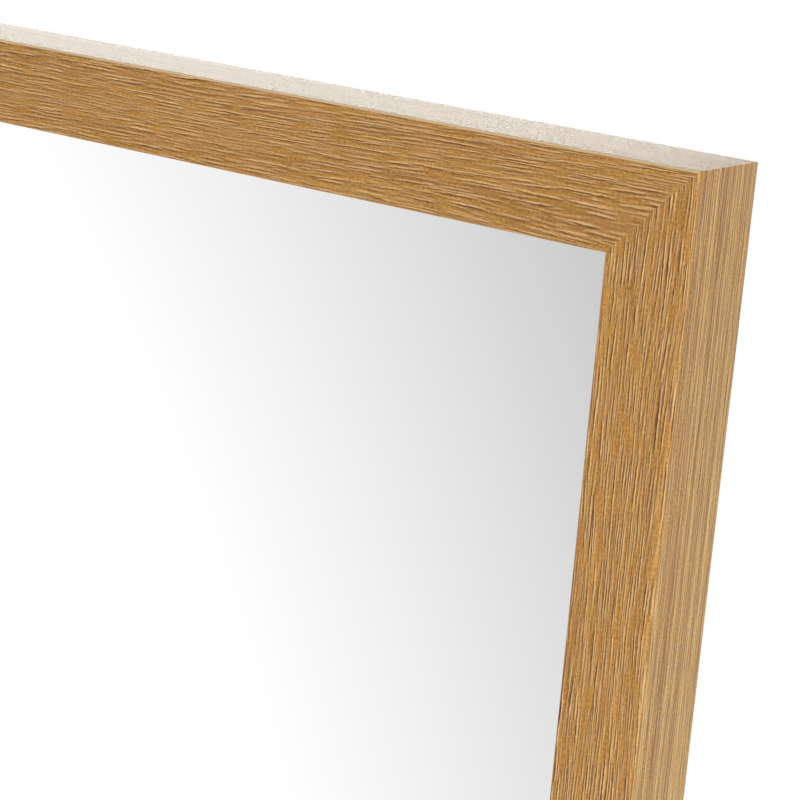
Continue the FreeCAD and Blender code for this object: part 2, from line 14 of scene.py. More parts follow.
import bmesh
import bpy
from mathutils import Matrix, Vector


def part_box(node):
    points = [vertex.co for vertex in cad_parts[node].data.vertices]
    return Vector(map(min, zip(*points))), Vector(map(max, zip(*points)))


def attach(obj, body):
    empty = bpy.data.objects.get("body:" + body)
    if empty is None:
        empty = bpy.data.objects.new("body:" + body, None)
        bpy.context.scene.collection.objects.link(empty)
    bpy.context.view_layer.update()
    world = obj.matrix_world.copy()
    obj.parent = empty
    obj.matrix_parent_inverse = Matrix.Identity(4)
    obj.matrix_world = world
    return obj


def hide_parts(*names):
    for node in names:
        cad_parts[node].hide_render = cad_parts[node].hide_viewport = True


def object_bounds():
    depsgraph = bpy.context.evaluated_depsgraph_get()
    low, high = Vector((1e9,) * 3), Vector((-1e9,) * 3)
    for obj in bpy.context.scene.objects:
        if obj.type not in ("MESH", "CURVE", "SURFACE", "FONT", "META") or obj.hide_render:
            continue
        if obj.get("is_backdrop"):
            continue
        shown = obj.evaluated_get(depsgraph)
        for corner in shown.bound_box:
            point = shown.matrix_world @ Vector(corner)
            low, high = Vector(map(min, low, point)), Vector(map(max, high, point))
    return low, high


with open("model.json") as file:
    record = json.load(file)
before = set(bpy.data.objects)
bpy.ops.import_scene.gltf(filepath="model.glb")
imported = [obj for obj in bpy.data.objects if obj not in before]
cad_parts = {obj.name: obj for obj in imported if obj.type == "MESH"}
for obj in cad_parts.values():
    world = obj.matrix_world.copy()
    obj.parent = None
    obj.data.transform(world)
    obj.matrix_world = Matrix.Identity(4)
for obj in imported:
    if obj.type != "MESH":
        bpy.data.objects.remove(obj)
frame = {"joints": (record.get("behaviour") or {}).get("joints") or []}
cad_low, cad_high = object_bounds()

print("CAD box:", [round(n, 4) for n in cad_low], [round(n, 4) for n in cad_high])

# %% [markdown]
# ## The camera
#
# The picture looks down on the top right corner from close by, through a long lens.
# The camera could be aimed by a Track To constraint, but three plain angles are easier
# to read, and nothing is left that could turn it later. The lens follows from the way
# the edges of the frame run together: a wide lens would spread them more.

# %% Place the camera
CAMERA_PLACE = (0.70837, -0.74129, 1.72894)
CAMERA_TURN = (75.22707, -4.52605, 37.29815)
LENS = 111.66838

camera = bpy.data.objects.new("camera", bpy.data.cameras.new("camera"))
bpy.context.scene.collection.objects.link(camera)
bpy.context.scene.camera = camera
camera.location = CAMERA_PLACE
camera.rotation_euler = [radians(angle) for angle in CAMERA_TURN]
camera.data.lens = LENS
camera.data.clip_start = 0.01
bpy.context.scene.view_settings.view_transform = "Standard"
print("camera at", CAMERA_PLACE, "with a lens of", LENS, "mm")

# %% [markdown]
# ## A few helpers for working with nodes
#
# In the shader editor a node is added, its fields are filled in and its sockets are
# joined by hand. In code that takes many lines, so these helpers do the same in one:
# a value may be a number, a colour or another node's output.

# %% Node helpers
def add_node(tree, kind, values=None, **settings):
    """Adds a node. values fills or joins its inputs, settings its other fields."""
    node = tree.nodes.new("ShaderNode" + kind)
    for field, value in settings.items():
        setattr(node, field, value)
    for place, value in (values or {}).items():
        if isinstance(value, bpy.types.NodeSocket):
            tree.links.new(value, node.inputs[place])
        else:
            node.inputs[place].default_value = value
    return node


def reckon(tree, operation, *numbers):
    """A Math node's answer."""
    return add_node(tree, "Math", dict(enumerate(numbers)), operation=operation).outputs[0]


def mix_colours(tree, share, first, second):
    """A Mix node's colour: all of the first at 0, all of the second at 1."""
    node = add_node(tree, "Mix", {0: share}, data_type="RGBA")
    for place, value in ((6, first), (7, second)):
        if isinstance(value, bpy.types.NodeSocket):
            tree.links.new(value, node.inputs[place])
        else:
            node.inputs[place].default_value = (*value, 1)
    return node.outputs[2]


def between(tree, share, low, high):
    """A number that is low where the share is 0 and high where it is 1."""
    return reckon(tree, "MULTIPLY_ADD", share, high - low, low)


def centre(tree, noise):
    """A noise's value, moved from around a half to around nought."""
    return reckon(tree, "SUBTRACT", noise, 0.5)


def fade(tree, value, start, end, low=0.0, high=1.0):
    """A smooth step from low to high while the value goes from start to end."""
    fields = {"Value": value, "From Min": start, "From Max": end, "To Min": low, "To Max": high}
    return add_node(tree, "MapRange", fields, interpolation_type="SMOOTHSTEP").outputs[0]


def cloud(tree, place, scale, detail=2.0, roughness=0.5):
    """A Noise node's grey value, around a half."""
    fields = {"Vector": place, "Scale": scale, "Detail": detail, "Roughness": roughness}
    return add_node(tree, "TexNoise", fields).outputs[0]


def stretch(tree, place, scale):
    """The coordinates, stretched by a Mapping node."""
    return add_node(tree, "Mapping", {"Vector": place, "Scale": scale}).outputs[0]


print("node helpers ready")

# %% [markdown]
# ## The room
#
# A mirror has no look of its own: it shows the room. The pane in the picture shades
# from white at its left to a light grey at its upper right, so the room in front of
# it is a white wall that falls into soft shade. A sky could do that with an image.
# Here the world's own direction drives it, in a few Math nodes, and the shade is
# used only for what is mirrored. Straight views see plain white, and matt surfaces
# get one even, soft light.

# %% Make the world
AMBIENT = 0.62
OVERHEAD = 0.32
PANE_REFLECTANCE = 0.93
SHADE_LEAST = 0.60
# The mirrored room's brightness: a start, and its rise with each part of the direction.
LEFT_WALL = {"start": -0.907, "across": -2.42, "upward": -1.32}
RIGHT_WALL = {"start": 0.89, "across": 0.9}

world = bpy.data.worlds.new("white_room")
bpy.context.scene.world = world
world.use_nodes = True
tree = world.node_tree
direction = add_node(tree, "TexCoord").outputs["Generated"]
across, _, upward = add_node(tree, "SeparateXYZ", {0: direction}).outputs
left_wall = reckon(tree, "MULTIPLY_ADD", across, LEFT_WALL["across"], LEFT_WALL["start"])
left_wall = reckon(tree, "MULTIPLY_ADD", upward, LEFT_WALL["upward"], left_wall)
right_wall = reckon(tree, "MULTIPLY_ADD", across, RIGHT_WALL["across"], RIGHT_WALL["start"])
shade = reckon(tree, "MAXIMUM", left_wall, right_wall)
shade = add_node(tree, "Clamp", {0: shade, 1: SHADE_LEAST, 2: 1.0}).outputs[0]
shade = reckon(tree, "DIVIDE", shade, PANE_REFLECTANCE)
path = add_node(tree, "LightPath").outputs
mirrored = reckon(tree, "ADD", path["Is Glossy Ray"], path["Is Transmission Ray"])
soft = fade(tree, upward, 0.0, 1.0, AMBIENT, OVERHEAD)
light = mix_colours(tree, mirrored, soft, shade)
light = mix_colours(tree, path["Is Camera Ray"], light, (1, 1, 1))
tree.links.new(light, tree.nodes["Background"].inputs["Color"])
print("ambient light", AMBIENT, "to", OVERHEAD, "and a mirrored room from", SHADE_LEAST, "to 1")

# %% [markdown]
# ## The lamps
#
# Three large, soft area lamps, as in a small studio. The key lamp stands far in front,
# where no pane that faces this camera mirrors it. A second one on the right keeps the
# outer side of the frame light. The third stands behind and to the left, low enough
# for the top of the frame to mirror it towards the camera, which gives its pale sheen.

# %% Make the lamps
LAMPS = {
    # lamp: place, target, width in metres, power in watts
    "key_lamp": ((1.4, -4.3, 0.95), (0, 0, 1.0), 1.8, 80),
    "side_lamp": ((3.6, -1.6, 0.95), (0.3, 0, 1.0), 1.8, 65),
    "sheen_lamp": ((-2.6, 3.0, 2.5), (0.2, 0, 1.6), 2.4, 70),
}


def add_lamp(name, place, target, width, power):
    """A square area lamp at a place, aimed at a target."""
    data = bpy.data.lights.new(name, "AREA")
    data.size = width
    data.energy = power
    lamp = bpy.data.objects.new(name, data)
    bpy.context.scene.collection.objects.link(lamp)
    lamp.location = place
    lamp.rotation_euler = (Vector(target) - Vector(place)).to_track_quat("-Z", "Y").to_euler()
    lamp.visible_camera = False
    print(name, "at", place)


for name, settings in LAMPS.items():
    add_lamp(name, *settings)

# %% [markdown]
# ## The floor
#
# A plain pale disc, big enough for the shadow. It gets thinner towards its rim, so no
# edge shows against the white room. It isn't part of the mirror, so it is marked as
# stage.

# %% Make the floor
FLOOR_RADIUS = 2.15
FLOOR_MIDDLE = (0, -0.1, -0.0002)
RIM_START, RIM_END = 1.1, 2.1

bpy.ops.object.select_all(action="DESELECT")
bpy.ops.mesh.primitive_circle_add(
    vertices=96, radius=FLOOR_RADIUS, fill_type="NGON", location=FLOOR_MIDDLE
)
floor = bpy.context.object
floor.name = "floor"
bpy.ops.object.transform_apply()
floor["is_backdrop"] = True

pale = bpy.data.materials.new("pale_floor")
pale.use_nodes = True
tree = pale.node_tree
shader = tree.nodes["Principled BSDF"]
shader.inputs["Roughness"].default_value = 0.7
place = add_node(tree, "TexCoord").outputs["Object"]
mottle = cloud(tree, place, 3.0)
tone = mix_colours(tree, mottle, (0.84, 0.84, 0.835), (0.88, 0.88, 0.875))
tree.links.new(tone, shader.inputs["Base Color"])
outward = {0: place, 1: FLOOR_MIDDLE}
reach = add_node(tree, "VectorMath", outward, operation="DISTANCE").outputs["Value"]
tree.links.new(fade(tree, reach, RIM_START, RIM_END, 1.0, 0.0), shader.inputs["Alpha"])
floor.data.materials.append(pale)
print("floor radius", FLOOR_RADIUS)

# %% [markdown]
# ## Helpers for modelling
#
# Blender's mesh operators act on whatever is selected, and loading the model leaves
# its parts selected. So every step first clears the selection, and then picks the
# faces or edges that it needs by where they are or which way they face.

# %% Modelling helpers
NEAR = 1e-6


def clear_selection():
    """Back to object mode with nothing selected."""
    if bpy.context.mode != "OBJECT":
        bpy.ops.object.mode_set(mode="OBJECT")
    bpy.ops.object.select_all(action="DESELECT")


def pick(kind, wanted):
    """In edit mode, selects only the vertices, edges or faces that are wanted."""
    bpy.ops.mesh.select_mode(type=kind)
    bpy.ops.mesh.select_all(action="DESELECT")
    shape = bmesh.from_edit_mesh(bpy.context.edit_object.data)
    found = {"VERT": shape.verts, "EDGE": shape.edges, "FACE": shape.faces}[kind]
    chosen = [part for part in found if wanted(part)]
    for part in chosen:
        part.select_set(True)
    shape.select_flush_mode()
    bmesh.update_edit_mesh(bpy.context.edit_object.data)
    return len(chosen)


def along_x(edge, y, z):
    """True for an edge that runs along X at this y and z."""
    return all(abs(end.co.y - y) < NEAR and abs(end.co.z - z) < NEAR for end in edge.verts)


def settle(piece):
    """Puts the piece's place and turn into its mesh, so that its object sits at the origin."""
    clear_selection()
    piece.select_set(True)
    bpy.context.view_layer.objects.active = piece
    bpy.ops.object.transform_apply(location=True, rotation=True, scale=True)


def count_triangles(piece):
    """How many triangles the piece's mesh has."""
    return sum(len(face.vertices) - 2 for face in piece.data.polygons)


print("modelling helpers ready")

# %% [markdown]
# ## The foil round the moulding
#
# On the real frame a printed foil, a third of a millimetre thick, is pressed round a
# length of fibreboard: from the back, over the outer side, the face and the rounded
# sight edge, to behind the lip that holds the glass. The length is then cut at 45
# degrees, so the foil's pattern meets itself in the corner.
#
# A cube with a bevel would give the right outline, but its pattern would be cut off
# at each edge. So the foil is made as it is in the factory: a strip, extruded edge
# by edge round the section, with its folds bevelled, then thickened and cut. Each
# point remembers how far it lies along the length and round the section, as a UV
# map in metres, and the grain will follow that.

# %% Sizes of the moulding
OUTER_TOP = cad_high.z
HALF_WIDTH = cad_high.x
FRONT_Y = cad_low.y
FRAME_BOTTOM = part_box("bottom_rail")[0].z
REAR_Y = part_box("top_rail_foil")[1].y
FACE_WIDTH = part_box("top_rail_foil")[1].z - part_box("top_rail_foil")[0].z
FOIL = 0.0003
LIP_BACK = 0.0123
REAR_RETURN = 0.007
LIP_RETURN = 0.003
REAR_RADIUS = 0.001
FRONT_RADIUS = 0.0015
SIGHT_RADIUS = 0.0012
SPARE = 0.02

FRAME_HEIGHT = OUTER_TOP - FRAME_BOTTOM
MIDDLE_Z = (OUTER_TOP + FRAME_BOTTOM) / 2
print("face", round(FACE_WIDTH, 5), "depth", round(REAR_Y - FRONT_Y, 5))


# %% Extrude the strip round the section
def extrude_round(length):
    """A strip round the section of a side that lies along X, with its outer edge at z = 0."""
    clear_selection()
    bpy.ops.mesh.primitive_plane_add(
        size=1, location=(0, REAR_Y, -REAR_RETURN / 2), rotation=(-pi / 2, 0, 0)
    )
    strip = bpy.context.object
    strip.scale = (length + SPARE, REAR_RETURN, 1)
    settle(strip)
    bpy.ops.object.mode_set(mode="EDIT")
    pick("EDGE", lambda edge: along_x(edge, REAR_Y, 0))
    for run in (
        (0, FRONT_Y - REAR_Y, 0),
        (0, 0, -FACE_WIDTH),
        (0, LIP_BACK, 0),
        (0, 0, LIP_RETURN),
    ):
        bpy.ops.mesh.extrude_region_move(TRANSFORM_OT_translate={"value": run})
    return strip


def round_folds():
    """Bevels the three folds of the strip to their own radii."""
    for y, z, radius, steps in (
        (REAR_Y, 0, REAR_RADIUS, 5),
        (FRONT_Y, 0, FRONT_RADIUS, 8),
        (FRONT_Y, -FACE_WIDTH, SIGHT_RADIUS, 6),
    ):
        pick("EDGE", lambda edge: along_x(edge, y, z))
        bpy.ops.mesh.bevel(
            offset_type="OFFSET", offset=radius, segments=steps, profile=0.5, affect="EDGES"
        )


print("strip helpers ready")


# %% Give the strip its map
def lay_map(strip, start):
    """Writes a UV map in metres: u along the length from start, v round the section."""
    shape = bmesh.new()
    shape.from_mesh(strip.data)
    end_x = max(vertex.co.x for vertex in shape.verts)
    ends = [vertex for vertex in shape.verts if abs(vertex.co.x - end_x) < NEAR]
    here = next(v for v in ends if abs(v.co.y - REAR_Y) < NEAR and v.co.z < -REAR_RETURN + NEAR)
    girth, travelled, before = {}, 0.0, None
    while here is not None:
        girth[round(here.co.y, 6), round(here.co.z, 6)] = travelled
        onward = [edge.other_vert(here) for edge in here.link_edges]
        onward = [v for v in onward if abs(v.co.x - end_x) < NEAR and v is not before]
        before, here = here, onward[0] if onward else None
        if here is not None:
            travelled += (here.co - before.co).length
    layer = shape.loops.layers.uv.new("grain_map")
    for face in shape.faces:
        for corner in face.loops:
            point = corner.vert.co
            corner[layer].uv = (point.x + start, girth[round(point.y, 6), round(point.z, 6)])
    shape.to_mesh(strip.data)
    shape.free()
    return travelled


print("map helper ready")


# %% Thicken, cut the mitres and put in place
def wrap_side(name, node, length, turn, place, start):
    """One side's foil, from strip to finished piece."""
    strip = extrude_round(length)
    round_folds()
    clear_selection()
    for layer in list(strip.data.uv_layers):
        strip.data.uv_layers.remove(layer)
    girth = lay_map(strip, start)
    bpy.context.view_layer.objects.active = strip
    strip.select_set(True)
    face = max(strip.data.polygons, key=lambda polygon: polygon.area)
    if max(face.normal.z, -face.normal.y) < 0.9:
        strip.data.flip_normals()
    wall = strip.modifiers.new("foil", "SOLIDIFY")
    wall.thickness = FOIL
    wall.offset = -1
    wall.use_even_offset = True
    bpy.ops.object.modifier_apply(modifier=wall.name)
    bpy.ops.object.mode_set(mode="EDIT")
    for way in (1, -1):
        pick("FACE", lambda face: True)
        bpy.ops.mesh.bisect(
            plane_co=(way * length / 2, 0, 0), plane_no=(way, 0, -1),
            use_fill=True, clear_outer=True,
        )
    bpy.ops.object.mode_set(mode="OBJECT")
    strip.rotation_euler = (0, radians(turn), 0)
    strip.location = place
    settle(strip)
    bpy.ops.object.shade_smooth_by_angle(angle=radians(40))
    shading = strip.modifiers.new("flat_sides", "WEIGHTED_NORMAL")
    shading.keep_sharp = True
    bpy.ops.object.modifier_apply(modifier=shading.name)
    strip.name = name
    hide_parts(node)
    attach(strip, "mirror")
    print(name, "girth", round(girth, 4), "triangles", count_triangles(strip))
    return strip


print("wrap helper ready")


# %% Wrap the four sides
# Each is cut from another place on its roll, so no two have the same pattern. A rail's
# place lies in an even roll, as ROLL_STEP counts them, and a stile's in an odd one.
ROLL_STEP = 20.0
SIDES = {
    # piece: node, length, turn in degrees, place of the outer edge, place on the roll
    "top_foil_wrap": ("top_rail_foil", 2 * HALF_WIDTH, 0, (0, 0, OUTER_TOP), 11.3),
    "right_foil_wrap": ("right_stile_foil", FRAME_HEIGHT, 90, (HALF_WIDTH, 0, MIDDLE_Z), 31.7),
    "bottom_foil_wrap": ("bottom_rail_foil", 2 * HALF_WIDTH, 180, (0, 0, FRAME_BOTTOM), 53.1),
    "left_foil_wrap": ("left_stile_foil", FRAME_HEIGHT, 270, (-HALF_WIDTH, 0, MIDDLE_Z), 71.9),
}
foils = [wrap_side(piece, *settings) for piece, settings in SIDES.items()]

# %% [markdown]
# ## The pane
#
# Four-millimetre float glass, silvered behind, with its sharp edges ground off in a
# narrow flat called an arris. It could be a clear block with a silver back, which
# takes many bounces of light to show the same thing. Here the front face carries the
# silver, the ground edges the green of glass seen edge-on, and the back its grey
# protective paint, so the piece has three finishes, assigned face by face.

# %% Model the pane
ARRIS = 0.0006
pane_low, pane_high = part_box("mirror_glass")

clear_selection()
bpy.ops.mesh.primitive_cube_add(size=1, location=(pane_low + pane_high) / 2)
pane = bpy.context.object
pane.name = "mirror_pane"
pane.scale = pane_high - pane_low
settle(pane)
bpy.ops.object.mode_set(mode="EDIT")
pick("EDGE", lambda edge: True)
bpy.ops.mesh.bevel(offset=ARRIS, segments=1, affect="EDGES")
for finish in ("silver_front", "ground_glass_edge", "grey_back_paint"):
    pane.data.materials.append(bpy.data.materials.new(finish))
for slot, facing in (
    (0, lambda face: face.normal.y < -0.9),
    (1, lambda face: abs(face.normal.y) < 0.9),
    (2, lambda face: face.normal.y > 0.9),
):
    pick("FACE", facing)
    pane.active_material_index = slot
    bpy.ops.object.material_slot_assign()
clear_selection()
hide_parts("mirror_glass")
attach(pane, "mirror")
print("pane", [round(n * 1000, 1) for n in pane_high - pane_low], "mm")

# %% [markdown]
# ## The feet
#
# Two stick-on rubber pads under the bottom rail. They are pressed mats with rounded
# corners and a softened rim, and the underside has grooves that grip the floor. The
# grooves are cut as on a model bench: slice the underside into strips with bisect,
# then push every second strip in.

# %% Model one foot and copy it
FOOT_CORNER = 0.005
FOOT_RIM = 0.0004
SOLE_BORDER = 0.0022
GROOVE_MARGIN = 0.006
GROOVES = 7
GROOVE_LIP = 0.0002
GROOVE_DEPTH = 0.0006


def model_foot(node):
    """A grooved rubber pad at the place of the CAD foot."""
    low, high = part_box(node)
    clear_selection()
    bpy.ops.mesh.primitive_cube_add(size=1, location=(low + high) / 2)
    foot = bpy.context.object
    foot.scale = high - low
    settle(foot)
    bpy.ops.object.mode_set(mode="EDIT")
    pick("EDGE", lambda edge: abs(edge.verts[0].co.z - edge.verts[1].co.z) > 0.001)
    bpy.ops.mesh.bevel(offset=FOOT_CORNER, segments=7, affect="EDGES")
    pick("FACE", lambda face: abs(face.normal.z) > 0.9)
    bpy.ops.mesh.bevel(offset=FOOT_RIM, segments=3, affect="EDGES")
    pick("FACE", lambda face: face.normal.z < -0.999)
    bpy.ops.mesh.inset(thickness=SOLE_BORDER)
    left = low.x + GROOVE_MARGIN
    step = (high.x - low.x - 2 * GROOVE_MARGIN) / (2 * GROOVES - 1)

    def is_sole(face):
        return face.normal.z < -0.9 and abs(face.calc_center_median().z - low.z) < NEAR

    for cut in range(2 * GROOVES):
        pick("FACE", is_sole)
        bpy.ops.mesh.bisect(plane_co=(left + cut * step, 0, 0), plane_no=(1, 0, 0))
    middle = (low.y + high.y) / 2

    def is_groove(face):
        spot = face.calc_center_median()
        strip = (spot.x - left) / step
        return (
            face.normal.z < -0.9 and abs(spot.y - middle) < 0.001
            and 0 < strip < 2 * GROOVES - 1 and int(strip) % 2 == 0
        )

    chosen = pick("FACE", is_groove)
    bpy.ops.mesh.inset(thickness=GROOVE_LIP, use_individual=True)
    bpy.ops.mesh.extrude_region_move(TRANSFORM_OT_translate={
        "value": (0, 0, GROOVE_DEPTH), "orient_type": "GLOBAL",
    })
    bpy.ops.object.mode_set(mode="OBJECT")
    bpy.ops.object.shade_smooth_by_angle(angle=radians(35))
    print(node, "grooves", chosen, "triangles", count_triangles(foot))
    return foot


right_foot_pad = model_foot("right_foot")
right_foot_pad.name = "right_foot_pad"
left_foot_pad = right_foot_pad.copy()
left_foot_pad.data = right_foot_pad.data.copy()
left_foot_pad.name = "left_foot_pad"
bpy.context.scene.collection.objects.link(left_foot_pad)
left_foot_pad.location.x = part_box("left_foot")[0].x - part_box("right_foot")[0].x
settle(left_foot_pad)
for pad, node in ((right_foot_pad, "right_foot"), (left_foot_pad, "left_foot")):
    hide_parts(node)
    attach(pad, "mirror")

# %% [markdown]
# ## The wall bumpers
#
# Clear, soft domes on the back, which keep the frame off the wall. Each starts as a
# cylinder, and a deep bevel with several steps turns its outer rim into a dome with
# a small flat tip. One is modelled, the other three are copies.

# %% Model one bumper and copy it
BUMPER_RADIUS = 0.00635
DOME = 0.0026
TIP_BORDER = 0.0012
bumper_low, bumper_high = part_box("wall_bumpers")
BUMPER_HEIGHT = bumper_high.y - bumper_low.y


def bumper_place(side, top):
    """The middle of a bumper, on the left or right and at the top or bottom."""
    x = bumper_high.x - BUMPER_RADIUS if side > 0 else bumper_low.x + BUMPER_RADIUS
    z = bumper_high.z - BUMPER_RADIUS if top else bumper_low.z + BUMPER_RADIUS
    return Vector((x, (bumper_low.y + bumper_high.y) / 2, z))


clear_selection()
bpy.ops.mesh.primitive_cylinder_add(
    vertices=48, radius=BUMPER_RADIUS, depth=BUMPER_HEIGHT,
    location=bumper_place(1, True), rotation=(-pi / 2, 0, 0),
)
bumper = bpy.context.object
settle(bumper)
bpy.ops.object.mode_set(mode="EDIT")
pick("FACE", lambda face: face.normal.y > 0.9)
bpy.ops.mesh.bevel(offset=DOME, segments=7, profile=0.5, affect="EDGES")
pick("FACE", lambda face: face.normal.y > 0.99 and len(face.verts) > 8)
bpy.ops.mesh.inset(thickness=TIP_BORDER)
bpy.ops.object.mode_set(mode="OBJECT")
bpy.ops.object.shade_smooth_by_angle(angle=radians(50))
bumper.name = "top_right_bumper"

bumpers = [bumper]
for name, side, top in (
    ("top_left_bumper", -1, True),
    ("bottom_right_bumper", 1, False),
    ("bottom_left_bumper", -1, False),
):
    twin = bumper.copy()
    twin.data = bumper.data.copy()
    twin.name = name
    bpy.context.scene.collection.objects.link(twin)
    twin.location = bumper_place(side, top) - bumper_place(1, True)
    settle(twin)
    bumpers.append(twin)
for dome in bumpers:
    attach(dome, "mirror")
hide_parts("wall_bumpers")
print(len(bumpers), "bumpers of", count_triangles(bumper), "triangles")

# %% [markdown]
# ## The hanging rings
#
# Each hanger has a D of round wire whose straight bar turns in the strap's curled
# eye. A curve with a round bevel is one way to make it. Sweeping the wire's own
# circle with extrude and spin is another, and it keeps every turn a true arc: along
# the bar, round a corner, down a side, round the bow and back.

# %% Sweep one ring and copy it
WIRE = 0.00125
WIRE_SIDES = 20
RING_INSIDE = 0.017
RING_CORNER = 0.0024
CORNER_STEPS = 8
BOW_STEPS = 32
RING_HALF = RING_INSIDE / 2 + WIRE
right_ring_joint = next(j for j in frame["joints"] if j["name"] == "right_ring_swing")
ring_x, ring_y, ring_z = right_ring_joint["pos_m"]
bow_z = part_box("right_hanger_ring")[0].z + WIRE
bow_middle_z = bow_z + RING_HALF
side_run = ring_z - RING_CORNER - bow_middle_z


def turn_corner(middle, angle, steps):
    """Spins the wire's open end about an axis along Y through the middle, from +X to -Z.

    The spin operator turns against its axis, so the angle is given the other way.
    """
    bpy.ops.mesh.spin(steps=steps, angle=-angle, center=middle, axis=(0, 1, 0))


def run_on(x, z):
    """Extrudes the wire's open end straight on."""
    bpy.ops.mesh.extrude_region_move(TRANSFORM_OT_translate={"value": (x, 0, z)})


clear_selection()
bpy.ops.mesh.primitive_circle_add(
    vertices=WIRE_SIDES, radius=WIRE, location=(ring_x, ring_y, ring_z), rotation=(0, pi / 2, 0)
)
ring = bpy.context.object
settle(ring)
bpy.ops.object.mode_set(mode="EDIT")
bpy.ops.mesh.select_mode(type="EDGE")
bpy.ops.mesh.select_all(action="SELECT")
bar_half = RING_HALF - RING_CORNER
run_on(bar_half, 0)
turn_corner((ring_x + bar_half, ring_y, ring_z - RING_CORNER), pi / 2, CORNER_STEPS)
run_on(0, -side_run)
turn_corner((ring_x, ring_y, bow_middle_z), pi, BOW_STEPS)
run_on(0, side_run)
turn_corner((ring_x - bar_half, ring_y, ring_z - RING_CORNER), pi / 2, CORNER_STEPS)
run_on(bar_half, 0)
bpy.ops.mesh.select_all(action="SELECT")
bpy.ops.mesh.remove_doubles(threshold=0.00002)
bpy.ops.mesh.normals_make_consistent(inside=False)
bpy.ops.object.mode_set(mode="OBJECT")
bpy.ops.object.shade_smooth()
ring.name = "right_wire_ring"
cad_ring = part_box("right_hanger_ring")[1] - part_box("right_hanger_ring")[0]
print("ring", [round(n * 1000, 2) for n in ring.dimensions], "mm")
print("in the CAD", [round(n * 1000, 2) for n in cad_ring], "mm")
print("of", count_triangles(ring), "triangles")

left_ring_joint = next(j for j in frame["joints"] if j["name"] == "left_ring_swing")
left_ring = ring.copy()
left_ring.data = ring.data.copy()
left_ring.name = "left_wire_ring"
bpy.context.scene.collection.objects.link(left_ring)
left_ring.location.x = left_ring_joint["pos_m"][0] - ring_x
settle(left_ring)
for wire, node, body in (
    (ring, "right_hanger_ring", "right_ring"), (left_ring, "left_hanger_ring", "left_ring"),
):
    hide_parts(node)
    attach(wire, body)

# %% [markdown]
# ## The screws
#
# Each strap is held by two pan-head screws with a cross recess. The head is a
# cylinder whose rim gets a deep bevel. The recess is cut by a small tapered cross
# with a Boolean modifier, which is how a punch makes the real one. The shank is
# extruded from the back of the head and drawn to a point.

# %% Model one screw and copy it
HEAD_RADIUS = 0.0035
HEAD_HEIGHT = 0.0022
HEAD_ROUNDING = 0.0013
SHANK_RADIUS = 0.00175
SHANK_RUN = 0.011
SHANK_TIP = 0.004
TIP_SHARE = 0.12
RECESS_HALF = 0.0021
RECESS_WIDTH = 0.0008
RECESS_DEPTH = 0.0014
RECESS_TAPER = 0.45
OVERCUT = 0.0002

screws_low, screws_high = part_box("hanger_screws")
head_base_y = screws_high.y - HEAD_HEIGHT
screw_x = screws_high.x - HEAD_RADIUS
screw_z = screws_high.z - HEAD_RADIUS
SCREW_STEP = screws_high.z - screws_low.z - 2 * HEAD_RADIUS

clear_selection()
bpy.ops.mesh.primitive_cylinder_add(
    vertices=32, radius=HEAD_RADIUS, depth=HEAD_HEIGHT,
    location=(screw_x, head_base_y + HEAD_HEIGHT / 2, screw_z), rotation=(-pi / 2, 0, 0),
)
screw = bpy.context.object
settle(screw)
bpy.ops.object.mode_set(mode="EDIT")
pick("FACE", lambda face: face.normal.y > 0.9)
bpy.ops.mesh.bevel(offset=HEAD_ROUNDING, segments=5, profile=0.5, affect="EDGES")
pick("FACE", lambda face: face.normal.y < -0.9)
bpy.ops.mesh.inset(thickness=HEAD_RADIUS - SHANK_RADIUS)
bpy.ops.mesh.extrude_region_move(TRANSFORM_OT_translate={"value": (0, -SHANK_RUN, 0)})
bpy.ops.mesh.extrude_region_move(TRANSFORM_OT_translate={"value": (0, -SHANK_TIP, 0)})
bpy.ops.transform.resize(value=(TIP_SHARE, TIP_SHARE, TIP_SHARE))
bpy.ops.object.mode_set(mode="OBJECT")


def cut_with_cross(screw):
    """Cuts the cross recess with a tapered cross."""
    arms = []
    for wide, tall in ((RECESS_HALF, RECESS_WIDTH / 2), (RECESS_WIDTH / 2, RECESS_HALF)):
        clear_selection()
        middle_y = screws_high.y - RECESS_DEPTH / 2 + OVERCUT
        bpy.ops.mesh.primitive_cube_add(size=1, location=(screw_x, middle_y, screw_z))
        arm = bpy.context.object
        arm.scale = (2 * wide, RECESS_DEPTH + 2 * OVERCUT, 2 * tall)
        settle(arm)
        bpy.ops.object.mode_set(mode="EDIT")
        pick("FACE", lambda face: face.normal.y < -0.9)
        bpy.ops.transform.resize(value=(RECESS_TAPER, 1, RECESS_TAPER))
        bpy.ops.object.mode_set(mode="OBJECT")
        arms.append(arm)
    for arm in arms:
        clear_selection()
        bpy.context.view_layer.objects.active = screw
        cut = screw.modifiers.new("recess", "BOOLEAN")
        cut.operation = "DIFFERENCE"
        cut.solver = "EXACT"
        cut.object = arm
        bpy.ops.object.modifier_apply(modifier=cut.name)
        bpy.data.objects.remove(arm)


cut_with_cross(screw)
clear_selection()
screw.select_set(True)
bpy.context.view_layer.objects.active = screw
bpy.ops.object.shade_smooth_by_angle(angle=radians(35))
screw.name = "right_upper_screw"
screws = [screw]
for name, x, z in (
    ("right_lower_screw", 0, -SCREW_STEP),
    ("left_upper_screw", -2 * screw_x, 0),
    ("left_lower_screw", -2 * screw_x, -SCREW_STEP),
):
    twin = screw.copy()
    twin.data = screw.data.copy()
    twin.name = name
    bpy.context.scene.collection.objects.link(twin)
    twin.location = (x, 0, z)
    settle(twin)
    screws.append(twin)
for piece in screws:
    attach(piece, "mirror")
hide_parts("hanger_screws")
print(len(screws), "screws of", count_triangles(screw), "triangles")

# %% [markdown]
# ## Shared effects
#
# Real finishes are never one flat tone. Three effects come back again and again, so
# each is a node group that is built once and placed with its own values: pores
# pressed along the grain, a two-tone speckle, and the soft cloudy wear of handled
# metal and rubber.

